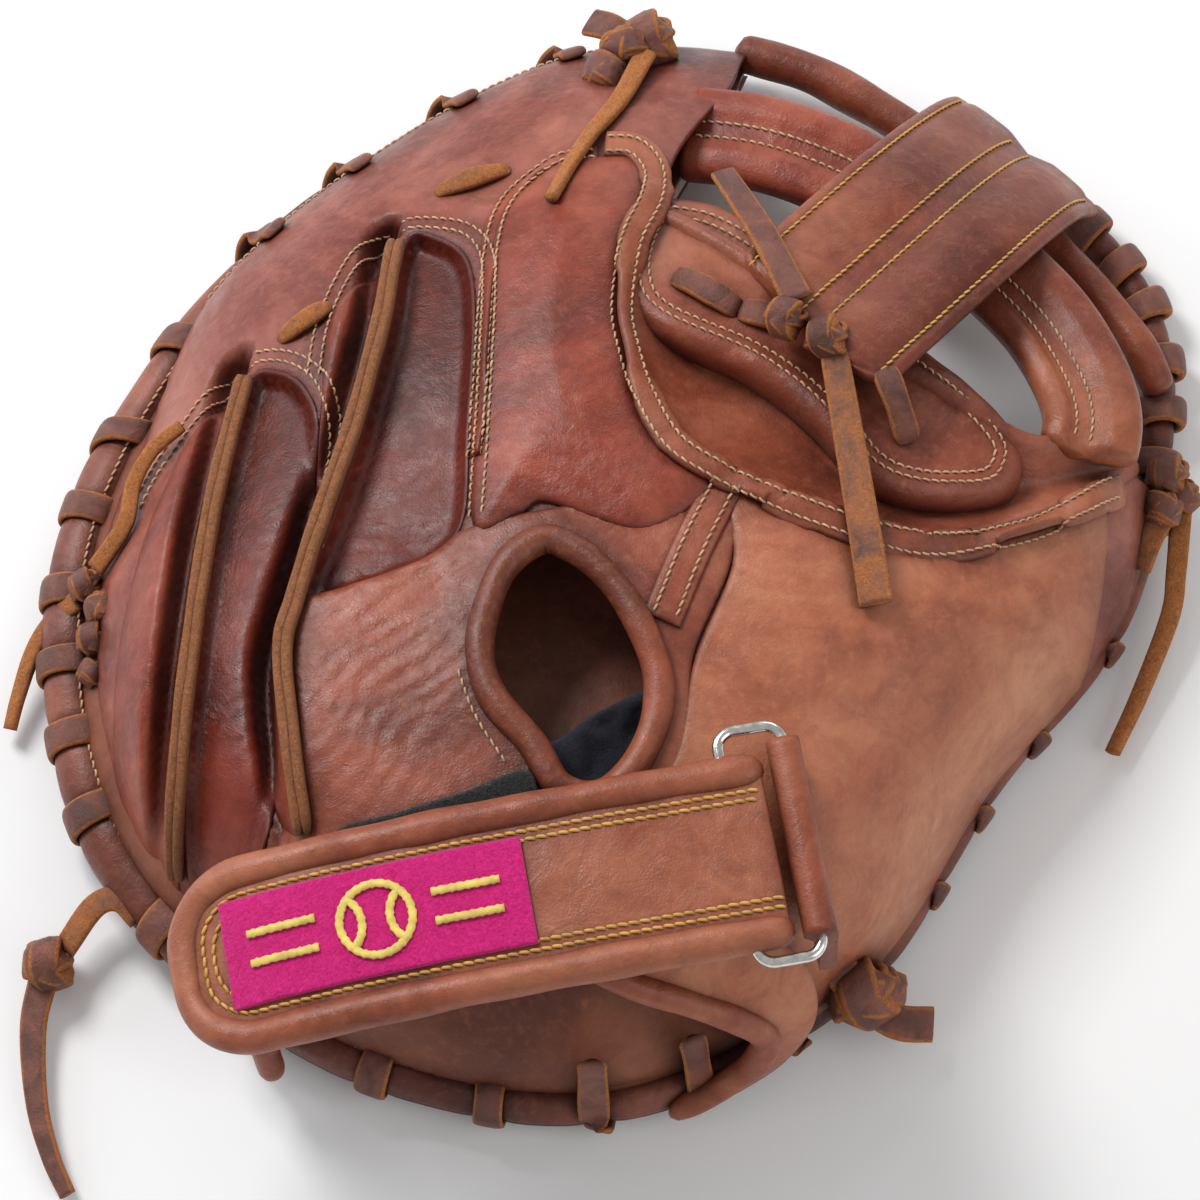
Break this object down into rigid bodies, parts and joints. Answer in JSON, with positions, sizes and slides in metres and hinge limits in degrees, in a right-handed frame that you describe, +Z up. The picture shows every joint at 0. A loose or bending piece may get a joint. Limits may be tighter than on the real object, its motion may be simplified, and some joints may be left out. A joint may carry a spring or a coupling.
{
  "type": "baseball catcher's mitt",
  "caption": "Padded leather catcher's mitt lying on its palm, with laced rim and web, finger welts and a touch-fastened wrist strap on a metal ring.",
  "frame": {"origin": "on the table under the middle of the mitt, at the level of its flat rim", "axes": "+Z up through the back of the hand, +Y to the fingertips, +X to the thumb"},
  "size_m": [0.2895, 0.297, 0.0867],
  "materials": {
    "leather_back": "oiled reddish-brown full-grain leather, mottled and creased",
    "leather_palm": "oiled reddish-brown full-grain leather",
    "leather_trim": "oiled leather, folded and stitched",
    "leather_welt": "raw-edged leather with fuzzy tan edges",
    "rawhide": "rawhide lace, smooth mauve-brown face and fuzzy orange-brown edges",
    "padding": "pressed wool felt",
    "lining": "soft thin lining leather",
    "neoprene": "dark navy knit-faced neoprene",
    "loop_pile": "black loop pile of a touch fastener",
    "hook_pile": "black hook side of a touch fastener",
    "steel": "bright nickel-plated steel wire",
    "felt_patch": "magenta felt with yellow satin-stitch embroidery"
  },
  "bodies": {
    "mitt": {"palm_leather": "leather_palm", "palm_pad": "padding", "palm_lining": "lining", "rim_pad": "padding", "heel_lining": "lining", "wrist_liner": "neoprene", "pinky_stall": "leather_back", "ring_finger_insert": "leather_back", "middle_stall": "leather_back", "index_finger_insert": "leather_back", "index_stall": "leather_back", "hand_back": "leather_back", "thumb_base_panel": "leather_back", "pocket_gusset": "leather_back", "fingertip_band": "leather_back", "pinky_welt": "leather_welt", "middle_welt": "leather_welt", "fingertip_seam_band": "leather_trim", "seam_band": "leather_trim", "thumb_seam_strip": "leather_trim", "pinky_flap_binding": "leather_trim", "thumb_flap_binding": "leather_trim", "hand_hole_binding": "leather_trim", "loop_patch": "loop_pile", "ring_tab": "leather_trim", "web_base_pad": "leather_back", "web_index_bar": "leather_back", "web_crossbar": "leather_back", "web_top_tube": "leather_trim", "rim_lace_fingers": "rawhide", "rim_lace_heel": "rawhide", "web_knot": "rawhide", "top_knot": "rawhide", "heel_knot": "rawhide", "pinky_knot": "rawhide", "corner_knot": "rawhide", "web_lace": "rawhide", "fingertip_lace": "rawhide"},
    "thumb_side": {"palm_leather_thumb_side": "leather_palm", "rim_pad_thumb_side": "padding", "thumb_panel": "leather_back", "pocket_gusset_thumb_side": "leather_back", "seam_band_thumb_side": "leather_trim", "web_thumb_bar": "leather_back", "web_outer_tube": "leather_trim", "rim_lace_thumb": "rawhide", "thumb_knot": "rawhide"},
    "ring": {"strap_ring": "steel"},
    "strap": {"wrist_strap": "leather_trim", "strap_binding": "leather_trim", "strap_patch": "felt_patch", "hook_pad": "hook_pile"}
  },
  "joints": [
    {"name": "pocket_close", "type": "hinge", "parent": "mitt", "child": "thumb_side", "pos_m": [0.0775, 0.0025, 0.03], "axis": [0.1683, 0.9857, 0], "range_deg": [0, 25]},
    {"name": "ring_swing", "type": "hinge", "parent": "mitt", "child": "ring", "pos_m": [0.04148, -0.08645, 0.083], "axis": [-0.1736, 0.9848, 0], "range_deg": [0, 40]},
    {"name": "strap_open", "type": "hinge", "parent": "ring", "child": "strap", "pos_m": [0.027, -0.089, 0.083], "axis": [-0.1736, 0.9848, 0], "range_deg": [0, 120]}
  ]
}
